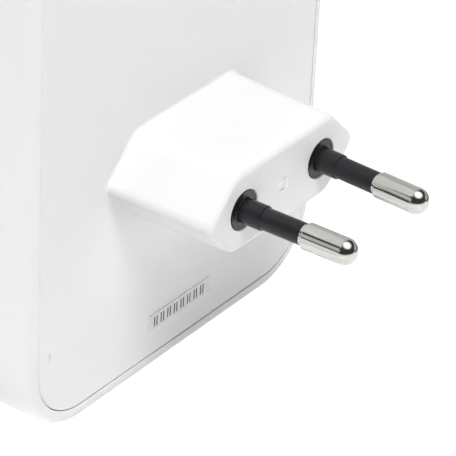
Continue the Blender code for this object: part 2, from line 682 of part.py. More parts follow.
def make_lights(root):
    bars, dots = window_outlines()
    plate = INSIDE + GAP
    half = BAR_SPACING * 1.5 + 3.0
    light_pipe("signal_light_pipe", root, bars, (-half, plate, BAR_FOOT - 1.5),
               (half, plate + 1.2, BAR_FOOT + BAR_HEIGHTS[-1] + 1.5))
    light_pipe("status_light_pipe", root, dots, (-DOT_X - 3, plate, DOT_Z - 2.5),
               (DOT_X + 3, plate + 1.2, DOT_Z + 2.5))
    for number, height in enumerate(BAR_HEIGHTS, 1):
        x = BAR_SPACING * (number - 2.5)
        add_lamp(f"signal_led_{number}", x, BAR_FOOT + height / 2, root)
    add_lamp("power_led", DOT_X, DOT_Z, root)
    add_lamp("link_led", -DOT_X, DOT_Z, root)


def add_lamp(name, x, z, root):
    add_part(name, box((x - 1.0, FRONT_SIDE - LED_HEIGHT, z - 0.7), (x + 1.0, FRONT_SIDE, z + 0.7), 0.15),
             "led_lens", root)


# ---------------------------------------------------------------- buttons

def make_wps_button(root):
    """Round pairing button: a dished cap, a flange behind the wall and a stem on the switch."""
    face = FRONT - BUTTON_PROUD
    flange = INSIDE + GAP
    stem_end = INSIDE + 1.9
    frame = add_frame("wps_button_slide", (0, face, BUTTON_Z))
    frame.parent = root
    profile = [(face + 0.3, 0.4), (face + 0.12, BUTTON_RADIUS * 0.6), (face, BUTTON_RADIUS - 0.6),
               (face + 0.6, BUTTON_RADIUS), (flange, BUTTON_RADIUS), (flange, BUTTON_RADIUS + 1.5),
               (flange + 1.0, BUTTON_RADIUS + 1.5), (flange + 1.0, 1.5), (stem_end, 1.5)]
    cap = turned(profile, 32)
    cap.transform(Matrix.Translation((0, 0, BUTTON_Z)))
    add_part("wps_button", cap, "button_white", frame, (0, face, BUTTON_Z), smooth=True)
    shell = box((-3, FRONT_SIDE - 2.0, BUTTON_Z - 3), (3, FRONT_SIDE, BUTTON_Z + 3), 0.2)
    body = add_part("wps_switch_body", shell, "component_black", root)
    well = cylinder((0, BUTTON_Z), 1.9, FRONT_SIDE - 3.0, FRONT_SIDE - 0.3, steps=16)
    combine(body, [well], "DIFFERENCE")
    plunger = cylinder((0, BUTTON_Z), 1.6, stem_end + GAP, FRONT_SIDE - 1.0, steps=16)
    add_part("wps_switch_plunger", plunger, "insulator_black", frame, (0, face, BUTTON_Z), smooth=True)


def make_reset_button(root):
    """A small switch behind a pinhole in the bottom wall."""
    x, y = RESET_XY
    frame = add_frame("reset_button_slide", (x, y, BOTTOM))
    frame.parent = root
    shell = box((x - 3, y - 1.7, -33.0), (x + 3, y + 1.7, -29.0), 0.2)
    body = add_part("reset_switch_body", shell, "component_black", root)
    combine(body, [cylinder(RESET_XY, 1.25, -34.0, -30.2, "Z", 14)], "DIFFERENCE")
    plunger = cylinder(RESET_XY, 0.95, BOTTOM + 0.8, -31.0, "Z", 14)
    add_part("reset_plunger", plunger, "insulator_black", frame, (x, y, BOTTOM), smooth=True)


# ---------------------------------------------------------------- fasteners

def screw_body(shank, reach):
    """A pan-head screw along Y: the head ends at the first turn of the shank."""
    head = [(1.5, 1.2), (1.2, 1.9), (0.4, 2.2), (0, 2.2), (0, shank)]
    return turned(head + [(-reach + 0.6, shank), (-reach, shank * 0.4)], 14)


def make_screws(root):
    for number, (x, z) in enumerate(MAIN_SCREWS, 1):
        body = screw_body(0.8, 5.6)
        body.transform(Matrix.Translation((x, REAR_SIDE, z)))
        add_part(f"main_board_screw_{number}", body, "steel", root, smooth=True)
    for number, (x, z) in enumerate(POWER_SCREWS, 1):
        body = screw_body(0.85, 4.9)
        body.transform(Matrix.Translation((x, POWER_SIDE, z)) @ Matrix.Rotation(math.pi, 4, "Z"))
        add_part(f"power_board_screw_{number}", body, "steel", root, smooth=True)


clear_scene()
MATERIALS = {slot: make_material(slot) for slot in PALETTE}
ROOT = add_frame("extender", (0, 0, 0))
for make in (make_front_housing, make_front_panel, make_rear_cover, make_plug, make_power_board,
             make_supply_components, make_transformer, make_board_link, make_insulating_sheet,
             make_main_board, make_chips, make_shield_can, make_heat_sink, make_antennas,
             make_ethernet_jack, make_jack_contacts, make_lights, make_wps_button, make_reset_button,
             make_screws):
    make(ROOT)
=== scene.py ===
"""Looks for the wall-plug wifi range extender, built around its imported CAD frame.

Shapes are worked out in millimetres in the CAD's own frame: the origin is the centre of the plug's
front face, +Y points out of it, +Z is up. Outer sizes and places come from the CAD nodes' boxes.
"""
import json
import math

import bmesh
import bpy
from mathutils import Matrix, Vector


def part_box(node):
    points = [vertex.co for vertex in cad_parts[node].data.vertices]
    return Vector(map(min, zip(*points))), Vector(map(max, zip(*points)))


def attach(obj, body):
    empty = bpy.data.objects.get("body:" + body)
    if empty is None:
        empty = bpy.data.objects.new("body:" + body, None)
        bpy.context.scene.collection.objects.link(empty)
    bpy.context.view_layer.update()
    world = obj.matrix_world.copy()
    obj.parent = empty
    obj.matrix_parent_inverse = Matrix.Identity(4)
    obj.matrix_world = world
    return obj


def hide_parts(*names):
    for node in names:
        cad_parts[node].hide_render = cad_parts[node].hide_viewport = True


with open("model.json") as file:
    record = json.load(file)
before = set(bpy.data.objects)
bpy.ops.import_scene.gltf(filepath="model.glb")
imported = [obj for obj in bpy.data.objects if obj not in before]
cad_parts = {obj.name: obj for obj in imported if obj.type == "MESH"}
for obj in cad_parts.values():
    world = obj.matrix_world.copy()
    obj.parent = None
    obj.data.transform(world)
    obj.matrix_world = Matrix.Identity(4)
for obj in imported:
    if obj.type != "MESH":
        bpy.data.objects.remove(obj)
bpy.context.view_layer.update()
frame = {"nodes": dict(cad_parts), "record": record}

MM = 0.001
BODY = "housing"


def box_mm(node):
    """Lowest and highest corner of a CAD node, in millimetres."""
    low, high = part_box(node)
    return low / MM, high / MM


def middle_mm(node):
    """Middle of a CAD node's box, in millimetres."""
    low, high = box_mm(node)
    return [(start + end) / 2 for start, end in zip(low, high)]


SHELL_LOW, SHELL_HIGH = box_mm("front_housing")
PANEL_LOW, PANEL_HIGH = box_mm("front_panel")
JACK_LOW, JACK_HIGH = box_mm("ethernet_jack")
PAST = 0.5                 # how far a cutter reaches past the surface that it cuts

# Housing
HALF_WIDTH = SHELL_HIGH.x
BOTTOM, TOP = SHELL_LOW.z, SHELL_HIGH.z
FRONT, BACK = SHELL_LOW.y, SHELL_HIGH.y
CORNER = 12.0
CORNER_STEPS = 22
FRONT_FILLET = 5.0
RIM_FILLET, RIM_TURN = 1.7, 84     # the rim's rounding stops a few degrees before the back is flat
SIDE_RIM, END_RIM = 1.9, 2.5
SEAM_GAP = 0.09            # finer than the CAD's, which keeps its solids apart
SEAM_BREAK = 0.12
SEAM_CORNER = 10.0
WALL_BREAK = 0.25          # small radius on edges that a hand can feel
PANEL_DEPTH = 1.2
PANEL_GAP = 0.3
PANEL_EDGE = 0.35
FRONT_WALL = 2.0
INSIDE = FRONT + PANEL_DEPTH + FRONT_WALL
INNER_CHAMFER_WIDE, INNER_CHAMFER_DEEP = 3.0, 2.8
VENT_WIDTH, VENT_PITCH = 1.6, 3.6
VENT_CHAMFER = 0.25
TOP_VENTS = (-39.0, -26.0)         # where these slots start and end, along Y
UNDER_VENTS = (-36.5, -26.5)
UNDER_VENT_FIRST = 12.5            # from the middle to the slot next to the socket
MAIN_POST, MAIN_PILOT = 2.8, 1.1   # radii of the main board's posts and their screw holes
POST_GAP = 0.3

# Rear cover and plug
COVER_THICK = 2.0
COVER_FILLET = 0.4
PLUG_WIDTH, PLUG_HEIGHT = 35.9, 14.3     # where the plug leaves the cover
PLUG_DRAFT = 0.6           # how far each side has drawn in at the plug's face
PLUG_SLOPE = 45.0
PLUG_NOSE = 1.8
PLUG_SHOULDER = 3.4
PLUG_EDGE = 1.0
PLUG_FOOT = 0.5            # hollow fillet where the plug leaves the cover
PLUG_ROOT = 0.1            # how much wider than its foot the plug is inside the cover
PLUG_WALL = 2.0
PLUG_FRONT_WALL = 2.0
PIN_HOLE_GAP, PIN_HOLE_EDGE = 0.06, 0.22
POWER_POST, POWER_PILOT = 2.6, 1.15
NOTCH_X, NOTCH_Z = (29.95, 30.25), (-23.3, -21.7)      # small tick by the cover's lower corner
NOTCH_DEPTH, NOTCH_EDGE = 0.3, 0.1

# Pins
PIN_SPACING, PIN_TIP_SPACING = 18.6, 17.5
PIN_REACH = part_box("plug_pin_left")[1].y / MM
PIN_RADIUS = 2.0
PIN_BREAK = 0.15
METAL_START = 10.15
NECK_RADIUS, NECK_END = 1.6, 10.65       # a short step where the metal leaves the sleeve
CORE_RADIUS = 1.1
SLEEVE_RADIUS = 1.675
COLLAR_RADIUS, COLLAR_END = 1.9, 3.6
DISC_RADIUS = 3.05

# Controls, lights and socket
BUTTON_BORE = 7.85
BORE_CHAMFER = 0.3
BAR_WIDTH = 2.2
BAR_FIRST, BAR_STEP = 3.5, 2.5     # height of the lowest signal bar, and what each next one adds
DOT_RADIUS = 1.1
WINDOW_GAP, WINDOW_CHAMFER = 0.12, 0.1
WALL_WINDOW_GAP = 0.3
RESET_HOLE = 1.3
JACK_GAP, JACK_CORNER = 0.3, 0.5
UNDER_CHAMFER = 0.3


# ---------------------------------------------------------------- meshes

def arc(centre, radius, start, turn, steps):
    """Points round a centre, from a starting angle on by turn, both in degrees."""
    angles = [math.radians(start + turn * step / steps) for step in range(steps + 1)]
    return [(centre[0] + radius * math.cos(a), centre[1] + radius * math.sin(a)) for a in angles]


def circle(centre, radius, sides):
    """A whole circle, whose last point comes one step before the first."""
    return arc(centre, radius, 0, 360 - 360 / sides, sides - 1)


def rounded_rect(half_x, low, high, radius, steps=CORNER_STEPS):
    """A rectangle with round corners, centred in x, from low to high the other way."""
    inner_x = half_x - radius
    points = arc((inner_x, high - radius), radius, 0, 90, steps)
    points += arc((-inner_x, high - radius), radius, 90, 90, steps)
    points += arc((-inner_x, low + radius), radius, 180, 90, steps)
    points += arc((inner_x, low + radius), radius, 270, 90, steps)
    return points


def slot_outline(x, low, high, width, steps=10):
    """A slot with round ends, from low to high across x."""
    radius = width / 2
    upper = arc((x, high - radius), radius, 0, 180, steps)
    return upper + arc((x, low + radius), radius, 180, 180, steps)


def offset(outline, by):
    """A convex outline moved outwards by a distance, along each corner's bisector."""
    least = 0.3            # keeps the point of a sharp corner from moving far out
    moved = []
    count = len(outline)
    for index, here in enumerate(outline):
        point = Vector(here)
        before = (point - Vector(outline[index - 1])).normalized()
        after = (Vector(outline[(index + 1) % count]) - point).normalized()
        normal = Vector((before.y + after.y, -before.x - after.x)).normalized()
        stretch = max(normal.dot(Vector((before.y, -before.x))), least)
        moved.append(tuple(point + normal * by / stretch))
    return moved


def loft(rings):
    """A closed body through rings with the same number of points."""
    body = bmesh.new()
    rows = [[body.verts.new(point) for point in ring] for ring in rings]
    for row, following in zip(rows, rows[1:]):
        for index in range(len(row)):
            after = (index + 1) % len(row)
            body.faces.new((row[index], row[after], following[after], following[index]))
    body.faces.new(rows[0])
    body.faces.new(rows[-1])
    return body


def along_y(outline, y):
    """A ring from (x, z) points, at a depth y."""
    return [(x, y, z) for x, z in outline]


def along_z(outline, z):
    """A ring from (x, y) points, at a height z."""
    return [(x, y, z) for x, y in outline]


def turned(profile, steps, closed=False):
    """A body turned about Y from (y, radius) points; a radius of 0 closes it in a point."""
    body = bmesh.new()
    angles = [2 * math.pi * step / steps for step in range(steps)]
    rows = []
    for y, radius in profile:
        around = angles if radius else [0]
        rows.append([body.verts.new((radius * math.cos(a), y, radius * math.sin(a)))
                     for a in around])
    pairs = list(zip(rows, rows[1:]))
    if closed:
        pairs.append((rows[-1], rows[0]))
    else:
        for end in (rows[0], rows[-1]):
            if len(end) > 1:
                body.faces.new(end)
    for row, following in pairs:
        for index in range(steps):
            after = (index + 1) % steps
            corners = [row[index % len(row)], row[after % len(row)],
                       following[after % len(following)], following[index % len(following)]]
            body.faces.new(list(dict.fromkeys(corners)))
    return body


def softened(low, high, radius):
    """A box with rounded edges."""
    body = bmesh.new()
    bmesh.ops.create_cube(body, size=1.0)
    size = [high[axis] - low[axis] for axis in range(3)]
    middle = [(high[axis] + low[axis]) / 2 for axis in range(3)]
    body.transform(Matrix.Translation(middle) @ Matrix.Diagonal((*size, 1)))
    bmesh.ops.bevel(body, geom=body.edges[:], offset=radius, segments=3, profile=0.5,
                    affect="EDGES")
    return body


def object_from(name, body):
    """An object at the origin, in metres, from a body in millimetres."""
    bmesh.ops.recalc_face_normals(body, faces=body.faces[:])
    body.transform(Matrix.Scale(MM, 4))
    mesh = bpy.data.meshes.new(name)
    body.to_mesh(mesh)
    body.free()
    made = bpy.data.objects.new(name, mesh)
    bpy.context.scene.collection.objects.link(made)
    return made


def carve(target, bodies, operation="DIFFERENCE"):
    """Cut bodies out of an object, or join them to it, and keep the result as its mesh."""
    tool_body = bmesh.new()
    for body in bodies:
        bmesh.ops.recalc_face_normals(body, faces=body.faces[:])
        scratch = bpy.data.meshes.new("scratch")
        body.to_mesh(scratch)
        body.free()
        tool_body.from_mesh(scratch)
        bpy.data.meshes.remove(scratch)
    tool_body.transform(Matrix.Scale(MM, 4))
    tool_mesh = bpy.data.meshes.new("tool")
    tool_body.to_mesh(tool_mesh)
    tool_body.free()
    tool = bpy.data.objects.new("tool", tool_mesh)
    bpy.context.scene.collection.objects.link(tool)
    change = target.modifiers.new("carve", "BOOLEAN")
    change.operation, change.solver, change.object = operation, "EXACT", tool
    graph = bpy.context.evaluated_depsgraph_get()
    result = bpy.data.meshes.new_from_object(target.evaluated_get(graph))
    target.modifiers.clear()
    target.data = result
    bpy.data.objects.remove(tool)
    bpy.data.meshes.remove(tool_mesh)


def finished(piece, material, stands_for=(), body=BODY, angle=32.0):
    """Shade a piece, give it its material and put it on its body."""
    piece.data.materials.clear()
    piece.data.materials.append(material)
    piece.data.shade_smooth()
    piece.data.set_sharp_from_angle(angle=math.radians(angle))
    weigh = piece.modifiers.new("even_normals", "WEIGHTED_NORMAL")
    weigh.keep_sharp = True
    weigh.weight = 80
    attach(piece, body)
    if stands_for:
        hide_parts(*stands_for)


# ---------------------------------------------------------------- materials

NOISE_LOW, NOISE_HIGH = 0.3, 0.7     # nearly all of a noise texture's values lie between these


class Nodes:
    """A material's node tree, with short calls for what the recipes below share."""

    def __init__(self, name):
        self.material = bpy.data.materials.new(name)
        self.material.use_nodes = True
        self.tree = self.material.node_tree
        self.shader = self.tree.nodes["Principled BSDF"]
        self.place = self.add("ShaderNodeTexCoord").outputs["Object"]

    def add(self, kind, **settings):
        node = self.tree.nodes.new(kind)
        for key, value in settings.items():
            setattr(node, key, value)
        return node

    def link(self, start, end):
        self.tree.links.new(start, end)

    def noise(self, size_mm, detail=3.0, rough=0.55, stretch=(1, 1, 1)):
        """Noise with features of about size_mm, squeezed along each axis by stretch."""
        mapping = self.add("ShaderNodeMapping")
        mapping.inputs["Scale"].default_value = stretch
        self.link(self.place, mapping.inputs["Vector"])
        noise = self.add("ShaderNodeTexNoise")
        noise.inputs["Scale"].default_value = 1 / (size_mm * MM)
        noise.inputs["Detail"].default_value = detail
        noise.inputs["Roughness"].default_value = rough
        self.link(mapping.outputs["Vector"], noise.inputs["Vector"])
        return noise.outputs["Fac"]

    def colour(self, value, first, second, start=NOISE_LOW, end=NOISE_HIGH):
        """Base colour from first to second as the value passes from start to end."""
        ramp = self.add("ShaderNodeValToRGB")
        ramp.color_ramp.elements[0].position = start
        ramp.color_ramp.elements[0].color = (*first, 1)
        ramp.color_ramp.elements[1].position = end
        ramp.color_ramp.elements[1].color = (*second, 1)
        self.link(value, ramp.inputs["Fac"])
        self.link(ramp.outputs["Color"], self.shader.inputs["Base Color"])

    def rough(self, value, low, high):
        """Roughness from low to high as a noise value rises."""
        span = self.add("ShaderNodeMapRange")
        span.inputs["From Min"].default_value = NOISE_LOW
        span.inputs["From Max"].default_value = NOISE_HIGH
        span.inputs["To Min"].default_value = low
        span.inputs["To Max"].default_value = high
        self.link(value, span.inputs["Value"])
        self.link(span.outputs["Result"], self.shader.inputs["Roughness"])

    def bump(self, value, strength, depth_mm, under=None):
        """Raise the surface by a value, on top of another bump where one is given."""
        node = self.add("ShaderNodeBump")
        node.inputs["Strength"].default_value = strength
        node.inputs["Distance"].default_value = depth_mm * MM
        self.link(value, node.inputs["Height"])
        if under:
            self.link(under, node.inputs["Normal"])
        self.link(node.outputs["Normal"], self.shader.inputs["Normal"])
        return node.outputs["Normal"]

    def set(self, **values):
        """Plain values of the shader, named with _ for each space."""
        for key, value in values.items():
            self.shader.inputs[key.replace("_", " ")].default_value = value


def shade(colour, factor):
    """A colour made darker or lighter."""
    return tuple(channel * factor for channel in colour)


def moulded(name, colour, rough, grain_mm=0.22):
    """Moulded plastic: a fine spark-eroded grain, faint flow marks and a slightly uneven polish."""
    made = Nodes(name)
    made.colour(made.noise(9.0, detail=2.0), shade(colour, 0.985), colour)
    made.rough(made.noise(3.0, detail=4.0), rough * 0.9, rough * 1.12)
    wide = made.bump(made.noise(6.0, detail=1.0), 0.15, 0.02)
    made.bump(made.noise(grain_mm, detail=2.0, rough=0.6), 0.6, 0.004, wide)
    made.set(IOR=1.5)
    return made.material


def polished(name, colour, rough=0.14):
    """Glossy plastic with hairline wiping marks."""
    made = Nodes(name)
    made.colour(made.noise(12.0, detail=2.0), shade(colour, 0.985), colour)
    wipes = made.noise(1.2, detail=5.0, rough=0.7, stretch=(1, 1, 0.25))
    made.rough(wipes, rough * 0.8, rough * 1.5)
    made.bump(made.noise(8.0, detail=1.0), 0.1, 0.015)
    made.set(Coat_Weight=0.3, Coat_Roughness=0.06)
    return made.material


def insulation():
    """Black pin insulation: semi-gloss, with faint cloudy wear."""
    made = Nodes("sleeve_black")
    made.colour(made.noise(1.4, detail=3.0), (0.0065, 0.0075, 0.009), (0.009, 0.010, 0.012))
    made.rough(made.noise(0.7, detail=3.0), 0.27, 0.35)
    made.bump(made.noise(0.4, detail=2.0), 0.3, 0.003)
    made.set(IOR=1.5, Specular_IOR_Level=0.42)
    return made.material


def nickel():
    """Nickel-plated pin: bright warm metal with fine drawing lines along its length."""
    made = Nodes("pin_nickel")
    lines = made.noise(0.3, detail=4.0, rough=0.6, stretch=(1, 0.04, 1))
    made.colour(lines, (0.60, 0.59, 0.55), (0.76, 0.75, 0.71))
    made.rough(made.noise(0.5, detail=4.0, rough=0.6, stretch=(1, 0.08, 1)), 0.05, 0.11)
    dents = made.bump(made.noise(0.8, detail=2.0), 0.5, 0.006)
    made.bump(lines, 0.2, 0.0015, dents)
    made.set(Metallic=1.0)
    return made.material


def metal(name, colour, rough, stretch=(1, 1, 0.1)):
    """Plain metal with a fine brushed grain along its height."""
    made = Nodes(name)
    lines = made.noise(0.5, detail=4.0, rough=0.6, stretch=stretch)
    made.colour(lines, shade(colour, 0.88), colour)
    made.rough(lines, rough * 0.8, rough * 1.3)
    made.bump(lines, 0.3, 0.004)
    made.set(Metallic=1.0)
    return made.material


def circuit_board():
    """Green solder mask over copper: tracks show as slightly lighter, raised cells."""
    made = Nodes("solder_mask")
    cells = made.add("ShaderNodeTexVoronoi", feature="DISTANCE_TO_EDGE", distance="CHEBYCHEV")
    cells.inputs["Scale"].default_value = 1 / (3.0 * MM)
    made.link(made.place, cells.inputs["Vector"])
    made.colour(cells.outputs["Distance"], (0.012, 0.085, 0.035), (0.022, 0.15, 0.06), 0.04, 0.1)
    made.rough(made.noise(1.5), 0.32, 0.45)
    made.bump(cells.outputs["Distance"], 0.2, 0.03)
    return made.material


def package(name, colour, rough, grain_mm=0.12):
    """Moulded electronic part: matt, with a sandy grain."""
    made = Nodes(name)
    made.colour(made.noise(1.0, detail=4.0), shade(colour, 0.8), shade(colour, 1.15))
    made.rough(made.noise(0.6, detail=3.0), rough * 0.9, rough * 1.1)
    made.bump(made.noise(grain_mm, detail=3.0), 0.5, 0.01)
    return made.material


def taped(name, colour):
    """Film or shrink sleeve: glossy, with soft wrinkles and a slightly uneven tint."""
    made = Nodes(name)
    tint = made.noise(2.5, detail=3.0, rough=0.5, stretch=(1, 1, 2.5))
    made.colour(tint, shade(colour, 0.85), colour)
    made.rough(made.noise(1.0, detail=3.0), 0.2, 0.35)
    made.bump(made.noise(1.6, detail=2.0, rough=0.5, stretch=(1, 1, 3)), 0.35, 0.04)
    made.set(Coat_Weight=0.4, Coat_Roughness=0.1)
    return made.material


def frosted(name, colour):
    """Light pipe or lens: milky plastic that scatters."""
    made = Nodes(name)
    made.colour(made.noise(0.8, detail=3.0), shade(colour, 0.92), colour)
    made.rough(made.noise(0.3, detail=3.0), 0.25, 0.4)
    made.bump(made.noise(0.2, detail=2.0), 0.3, 0.004)
    made.set(Transmission_Weight=0.25, Subsurface_Weight=0.15)
    made.shader.inputs["Subsurface Radius"].default_value = (0.001, 0.001, 0.001)
    return made.material


# ---------------------------------------------------------------- housing

def outer_ring(inset, y):
    """The housing's outline, moved inwards by inset, at a depth y."""
    return along_y(rounded_rect(HALF_WIDTH - inset, BOTTOM + inset, TOP - inset, CORNER - inset), y)


def seam_ring(shift, y):
    """The seam line's outline, moved outwards by shift, at a depth y."""
    half = HALF_WIDTH - SIDE_RIM + shift
    low, high = BOTTOM + END_RIM - shift, TOP - END_RIM + shift
    return along_y(rounded_rect(half, low, high, SEAM_CORNER + shift), y)


def tub():
    """The housing's wall: trim recess, front rounding, sides, back rim and inside."""
    inset = HALF_WIDTH - (PANEL_GAP - PANEL_LOW.x)
    rings = [outer_ring(inset, FRONT + PANEL_DEPTH), outer_ring(inset, FRONT + WALL_BREAK)]
    for across, along in arc((0, 0), WALL_BREAK, 180, -90, 4):
        rings.append(outer_ring(inset - WALL_BREAK - across, FRONT + WALL_BREAK - along))
    for across, along in arc((0, 0), FRONT_FILLET, 90, -90, 14):
        rings.append(outer_ring(FRONT_FILLET - across, FRONT + FRONT_FILLET - along))
    for across, along in arc((0, 0), RIM_FILLET, 0, RIM_TURN, 9):
        rings.append(outer_ring(RIM_FILLET - across, BACK - RIM_FILLET + along))
    edge = SEAM_GAP / 2
    for across, along in arc((0, 0), SEAM_BREAK, 90, 90, 3):
        rings.append(seam_ring(edge + SEAM_BREAK + across, BACK - SEAM_BREAK + along))
    rings.append(seam_ring(edge, INSIDE + INNER_CHAMFER_DEEP))
    rings.append(seam_ring(edge - INNER_CHAMFER_WIDE, INSIDE))
    return loft(rings)


def boss(screw, radius, low, high):
    """A round post along Y on a screw's axis, or the cutter for the screw's hole."""
    x, _, z = middle_mm(screw)
    body = turned([(low, radius), (high, radius)], 32)
    body.transform(Matrix.Translation((x, 0, z)))
    return body


def chamfered_cut(outline, surface, inward, inside_end, chamfer, place):
    """A cutter that flares at an outer surface; place puts its outline at a depth."""
    flare = offset(outline, chamfer + PAST)
    levels = [(flare, surface - inward * PAST), (outline, surface + inward * chamfer),
              (outline, inside_end)]
    return loft([place(ring, level) for ring, level in levels])


def vent_cutters():
    """Eleven slots across the top, and four on each side of the network socket."""
    cutters = []
    through_top, through_bottom = TOP - END_RIM - 2 * PAST, BOTTOM + END_RIM + 2 * PAST
    for index in range(-5, 6):
        outline = slot_outline(VENT_PITCH * index, *TOP_VENTS, VENT_WIDTH, steps=8)
        cutters.append(chamfered_cut(outline, TOP, -1, through_top, VENT_CHAMFER, along_z))
    for index in range(4):
        for side in (-1, 1):
            x = side * (UNDER_VENT_FIRST + VENT_PITCH * index)
            outline = slot_outline(x, *UNDER_VENTS, VENT_WIDTH, steps=8)
            cutters.append(chamfered_cut(outline, BOTTOM, 1, through_bottom, VENT_CHAMFER, along_z))
    return cutters


def window_outlines():
    """The four signal bars and the two status dots in the front."""
    bars = []
    for number in range(1, 5):
        x, _, z = middle_mm(f"signal_led_{number}")
        height = BAR_FIRST + BAR_STEP * (number - 1)
        bars.append(slot_outline(x, z - height / 2, z + height / 2, BAR_WIDTH))
    dots = []
    for lamp in ("link_led", "power_led"):
        x, _, z = middle_mm(lamp)
        dots.append(circle((x, z), DOT_RADIUS, 32))
    return bars, dots


def button_bore():
    """Outline of the hole that the pairing button moves in."""
    return circle((0, middle_mm("wps_button")[2]), BUTTON_BORE, 72)


def front_cutters():
    """Holes in the wall behind the trim plate, for the light pipes and the pairing button."""
    bars, dots = window_outlines()
    outlines = [offset(shape, WALL_WINDOW_GAP) for shape in bars + dots] + [button_bore()]
    return [loft([along_y(outline, FRONT), along_y(outline, INSIDE + 2 * PAST)])
            for outline in outlines]


def underside_cutters():
    """The network socket's mouth and the reset pinhole."""
    mouth = rounded_rect(JACK_HIGH.x + JACK_GAP, JACK_LOW.y - JACK_GAP, JACK_HIGH.y + JACK_GAP,
                         JACK_CORNER, steps=5)
    x, y, _ = middle_mm("reset_plunger")
    through = BOTTOM + END_RIM + 2 * PAST
    return [chamfered_cut(outline, BOTTOM, 1, through, UNDER_CHAMFER, along_z)
            for outline in (mouth, circle((x, y), RESET_HOLE, 32))]


def build_housing(look):
    """The outer shell, with posts for the main board's screws and all its openings."""
    housing = object_from("housing_shell", tub())
    screws = [f"main_board_screw_{number}" for number in (1, 2, 3)]
    board_front = box_mm("main_board")[0].y
    posts = [boss(screw, MAIN_POST, INSIDE - PAST, board_front - POST_GAP) for screw in screws]
    carve(housing, posts, "UNION")
    carve(housing, [boss(screw, MAIN_PILOT, INSIDE - PAST, board_front) for screw in screws])
    carve(housing, vent_cutters() + front_cutters() + underside_cutters())
    finished(housing, look, ("front_housing",))


def build_panel(look):
    """Trim plate with a rounded edge, flush in the front recess."""
    inset = HALF_WIDTH - PANEL_HIGH.x
    rings = [outer_ring(inset, PANEL_HIGH.y), outer_ring(inset, FRONT + PANEL_EDGE)]
    for across, along in arc((0, 0), PANEL_EDGE, 180, -90, 5):
        rings.append(outer_ring(inset + PANEL_EDGE + across, FRONT + PANEL_EDGE - along))
    panel = object_from("front_trim", loft(rings))
    bars, dots = window_outlines()
    openings = [(offset(shape, WINDOW_GAP), WINDOW_CHAMFER) for shape in bars + dots]
    openings.append((button_bore(), BORE_CHAMFER))
    through = PANEL_HIGH.y + 2 * PAST
    carve(panel, [chamfered_cut(outline, FRONT, 1, through, chamfer, along_y)
                  for outline, chamfer in openings])
    finished(panel, look, ("front_panel",))


# ---------------------------------------------------------------- rear cover with the plug

def plug_outline(inset, draft=0.0):
    """The plug's elongated hexagon with round corners, moved inwards by inset."""
    half_x = PLUG_WIDTH / 2 - inset - draft
    half_z = PLUG_HEIGHT / 2 - inset - draft
    least = 0.3
    nose, shoulder = max(PLUG_NOSE - inset, least), max(PLUG_SHOULDER - inset, least)
    turn = 90 - PLUG_SLOPE
    normal = math.radians(turn)
    nose_x = half_x - nose
    drop = (half_z - shoulder) * math.sin(normal)
    shoulder_x = nose_x + (nose - shoulder - drop) / math.cos(normal)
    right = arc((nose_x, 0), nose, -turn, 2 * turn, 12)
    upper = arc((shoulder_x, half_z - shoulder), shoulder, turn, PLUG_SLOPE, 8)
    quarter = right[len(right) // 2:] + upper
    top = quarter + [(-x, z) for x, z in reversed(quarter)]
    return top + [(-x, -z) for x, z in top[1:-1]]


def plug_block():
    """The plug before it is hollowed, from inside the cover to its front face."""
    rings = [along_y(plug_outline(-PLUG_FOOT - PLUG_ROOT), BACK - COVER_THICK + PAST)]
    for across, along in arc((0, 0), PLUG_FOOT, 270, -90, 5):
        rings.append(along_y(plug_outline(-PLUG_FOOT - across), BACK + PLUG_FOOT + along))
    for across, along in arc((0, 0), PLUG_EDGE, 0, 90, 9):
        rings.append(along_y(plug_outline(PLUG_EDGE - across, PLUG_DRAFT), along - PLUG_EDGE))
    return loft(rings)


def pin_hole(side):
    """Cutter for a pin's hole, with a small round edge in the plug's face."""
    radius, edge = DISC_RADIUS + PIN_HOLE_GAP, PIN_HOLE_EDGE
    profile = [(-PLUG_FRONT_WALL - 2 * PAST, radius)]
    profile += arc((-edge, radius + edge), edge, -90, 90, 4)
    body = turned(profile + [(PAST, radius + edge)], 72)
    body.transform(Matrix.Translation((side * PIN_SPACING / 2, 0, 0)))
    return body


def mould_mark():
    """Cutter for the faint ejector ring between the pins."""
    radius, width, depth = 1.0, 0.32, 0.2
    above, aside = 0.1, 0.4
    hollow = ((-1, 0), (-0.4, 0.8), (0, 1), (0.4, 0.8), (1, 0))
    groove = [(-depth * deep, radius + width * across) for across, deep in hollow]
    inner, outer = (above, radius - width - aside), (above, radius + width + aside)
    return turned([inner] + groove + [outer], 48, closed=True)


def notch():
    """Cutter for the small tick by the cover's lower corner."""
    low = (NOTCH_X[0], BACK - NOTCH_DEPTH, NOTCH_Z[0])
    high = (NOTCH_X[1], BACK + 2 * PAST, NOTCH_Z[1])
    return softened(low, high, NOTCH_EDGE)


def build_cover(look):
    """The back plate with the hollow plug on it, and posts for the power board's screws."""
    inner = BACK - COVER_THICK
    gap = -SEAM_GAP / 2
    rings = [seam_ring(gap, inner)]
    for across, along in arc((0, 0), COVER_FILLET, 0, 90, 9):
        rings.append(seam_ring(gap - COVER_FILLET + across, BACK - COVER_FILLET + along))
    cover = object_from("rear_cover_plug", loft(rings))
    screws = ("power_board_screw_1", "power_board_screw_2")
    board_back = box_mm("power_board")[1].y
    posts = [boss(screw, POWER_POST, board_back + POST_GAP, inner + PAST) for screw in screws]
    carve(cover, [plug_block()] + posts, "UNION")
    hollow = loft([along_y(plug_outline(PLUG_WALL), y)
                   for y in (inner - 2 * PAST, -PLUG_FRONT_WALL)])
    carve(cover, [hollow])
    carve(cover, [boss(screw, POWER_PILOT, board_back, BACK - COVER_THICK / 2)
                  for screw in screws])
    carve(cover, [pin_hole(-1), pin_hole(1), mould_mark(), notch()])
    finished(cover, look, ("rear_cover",))


# ---------------------------------------------------------------- pins

